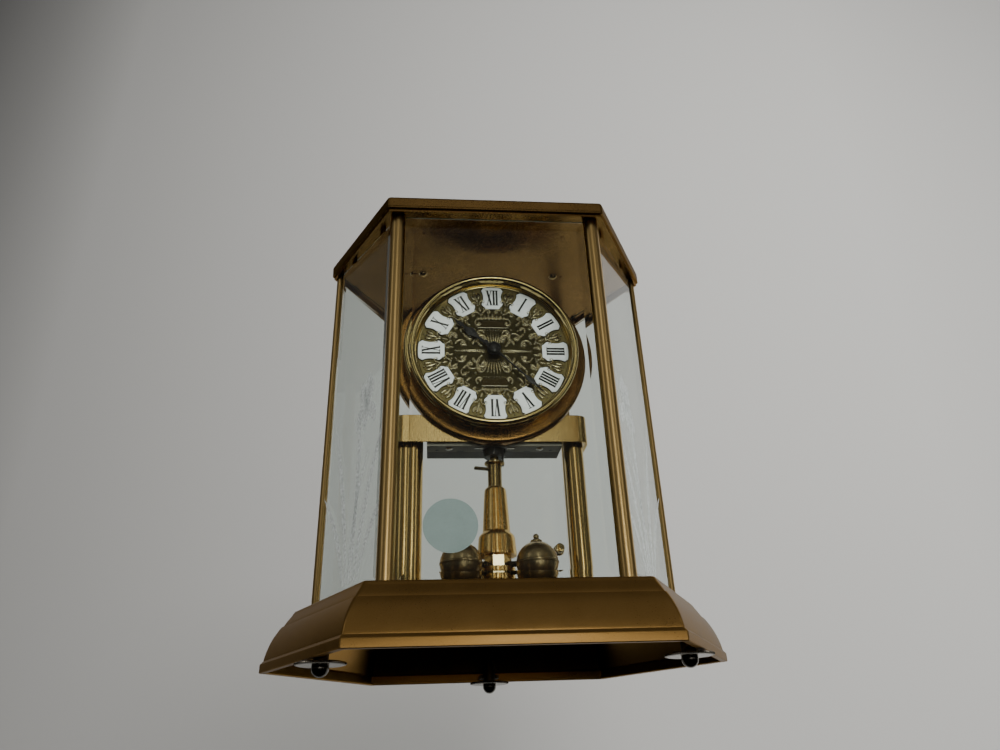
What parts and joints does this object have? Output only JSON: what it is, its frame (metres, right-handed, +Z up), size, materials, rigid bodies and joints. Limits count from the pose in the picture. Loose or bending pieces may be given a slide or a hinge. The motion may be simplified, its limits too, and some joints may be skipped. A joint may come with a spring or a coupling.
{
  "type": "anniversary clock",
  "caption": "Six-sided glazed mantel clock on a moulded bronze base, with a relief dial, Roman numeral plates and a turning pendulum with balls.",
  "frame": {"origin": "middle of the surface the clock stands on, under the middle of the case", "axes": "+Z up, front of the dial towards -Y, +X to the right seen from the front"},
  "size_m": [0.2506, 0.183, 0.2635],
  "materials": {
    "antique_bronze": "satin antique bronze lacquer on pressed brass",
    "dark_bronze": "dark bronze lacquer",
    "gold_bronze": "satin gold bronze",
    "polished_brass": "polished brass",
    "brushed_brass": "brushed pale brass",
    "dial_gold": "relief-stamped pale gold",
    "enamel_white": "white enamel with black numerals",
    "black_steel": "black japanned steel",
    "clear_glass": "clear float glass, bevelled edges",
    "label_film": "pale blue translucent film",
    "grey_plastic": "moulded grey plastic",
    "black_plastic": "moulded black plastic",
    "circuit_green": "fibreglass board",
    "copper": "enamelled copper winding",
    "steel": "bare steel",
    "gear_brass": "cut brass",
    "battery_skin": "printed steel can, no marks"
  },
  "bodies": {
    "case": {"base_shell": "antique_bronze", "foot_brackets": "dark_bronze", "floor_plate": "antique_bronze", "ceiling_plate": "dark_bronze", "cap": "antique_bronze", "cap_screws": "polished_brass", "post_front_left": "antique_bronze", "post_front_right": "antique_bronze", "post_side_left": "antique_bronze", "post_side_right": "antique_bronze", "post_rear_left": "antique_bronze", "post_rear_right": "antique_bronze", "frame_screws": "polished_brass", "glass_front": "clear_glass", "glass_front_left": "clear_glass", "glass_front_right": "clear_glass", "glass_rear_left": "clear_glass", "glass_rear_right": "clear_glass", "glass_tabs": "dark_bronze", "glass_label": "label_film", "column_left": "antique_bronze", "column_right": "antique_bronze", "bridge": "brushed_brass", "bezel_housing": "antique_bronze", "bezel_lip": "polished_brass", "dial_plate": "dial_gold", "numeral_plates": "enamel_white", "name_plates": "dark_bronze", "movement_case": "grey_plastic", "movement_cover": "grey_plastic", "movement_screws": "polished_brass", "circuit_board": "circuit_green", "coil": "copper", "stator": "steel", "battery": "battery_skin"},
    "foot_left": {"foot_ball_left": "black_steel"},
    "foot_left_screw": {"foot_screw_left": "black_steel"},
    "foot_right": {"foot_ball_right": "black_steel"},
    "foot_right_screw": {"foot_screw_right": "black_steel"},
    "foot_rear": {"foot_ball_rear": "black_steel"},
    "foot_rear_screw": {"foot_screw_rear": "black_steel"},
    "door": {"door_glass": "clear_glass", "door_clips": "polished_brass", "door_knob": "polished_brass"},
    "minute": {"minute_hand": "black_steel", "minute_arbor": "gear_brass", "hand_nut": "black_steel"},
    "hour": {"hour_hand": "black_steel", "hour_wheel": "gear_brass"},
    "motion": {"motion_wheel": "gear_brass", "setting_knob": "black_plastic"},
    "centre": {"centre_wheel": "gear_brass"},
    "third": {"third_wheel": "gear_brass"},
    "second": {"second_wheel": "gear_brass"},
    "rotor": {"rotor": "steel"},
    "pendulum": {"drive_rotor": "black_plastic", "pendulum_stem": "gold_bronze", "pendulum_body": "gold_bronze", "pendulum_hub": "gold_bronze", "pendulum_balls": "dark_bronze"}
  },
  "joints": [
    {"name": "foot_left_travel", "type": "slide", "parent": "case", "child": "foot_left", "axis": [0, 0, -1], "range_m": [0, 0.004]},
    {"name": "foot_left_turn", "type": "hinge", "parent": "foot_left", "child": "foot_left_screw", "pos_m": [-0.08689, -0.052, 0.006], "axis": [0, 0, 1], "range_deg": [-5, 2070]},
    {"name": "foot_right_travel", "type": "slide", "parent": "case", "child": "foot_right", "axis": [0, 0, -1], "range_m": [0, 0.004]},
    {"name": "foot_right_turn", "type": "hinge", "parent": "foot_right", "child": "foot_right_screw", "pos_m": [0.08689, -0.052, 0.006], "axis": [0, 0, 1], "range_deg": [-5, 2070]},
    {"name": "foot_rear_travel", "type": "slide", "parent": "case", "child": "foot_rear", "axis": [0, 0, -1], "range_m": [0, 0.004]},
    {"name": "foot_rear_turn", "type": "hinge", "parent": "foot_rear", "child": "foot_rear_screw", "pos_m": [0, 0.078, 0.006], "axis": [0, 0, 1], "range_deg": [-5, 2070]},
    {"name": "door_hinge", "type": "hinge", "parent": "case", "child": "door", "pos_m": [-0.04993, 0.0637, 0.1], "axis": [0, 0, 1], "range_deg": [0, 100]},
    {"name": "minute_turn", "type": "hinge", "parent": "case", "child": "minute", "pos_m": [0, -0.0236, 0.186], "axis": [0, 1, 0], "continuous": true},
    {"name": "hour_turn", "type": "hinge", "parent": "case", "child": "hour", "pos_m": [0, -0.0236, 0.186], "axis": [0, 1, 0], "continuous": true},
    {"name": "setting_knob_turn", "type": "hinge", "parent": "case", "child": "motion", "pos_m": [0, -0.0236, 0.1716], "axis": [0, 1, 0], "continuous": true},
    {"name": "rotor_spin", "type": "hinge", "parent": "case", "child": "rotor", "pos_m": [-0.00902, -0.0236, 0.20148], "axis": [0, 1, 0], "continuous": true},
    {"name": "second_wheel_turn", "type": "hinge", "parent": "case", "child": "second", "pos_m": [-0.00122, -0.0236, 0.20148], "axis": [0, 1, 0], "continuous": true},
    {"name": "third_wheel_turn", "type": "hinge", "parent": "case", "child": "third", "pos_m": [0.0064, -0.0236, 0.19709], "axis": [0, 1, 0], "continuous": true},
    {"name": "centre_wheel_turn", "type": "hinge", "parent": "case", "child": "centre", "pos_m": [0, -0.0236, 0.186], "axis": [0, 1, 0], "continuous": true},
    {"name": "pendulum_turn", "type": "hinge", "parent": "case", "child": "pendulum", "pos_m": [0, -0.005, 0.1], "axis": [0, 0, 1], "range_deg": [-150, 150]}
  ],
  "couplings": [
    {"joint": "foot_left_turn", "follows": "foot_left_travel", "rad_per_m": 8976},
    {"joint": "foot_right_turn", "follows": "foot_right_travel", "rad_per_m": 8976},
    {"joint": "foot_rear_turn", "follows": "foot_rear_travel", "rad_per_m": 8976},
    {"joint": "hour_turn", "follows": "minute_turn", "ratio": 0.083333},
    {"joint": "setting_knob_turn", "follows": "minute_turn", "ratio": -0.33333},
    {"joint": "second_wheel_turn", "follows": "rotor_spin", "ratio": -0.083333},
    {"joint": "third_wheel_turn", "follows": "rotor_spin", "ratio": 0.0083333},
    {"joint": "centre_wheel_turn", "follows": "rotor_spin", "ratio": -0.00055556}
  ]
}
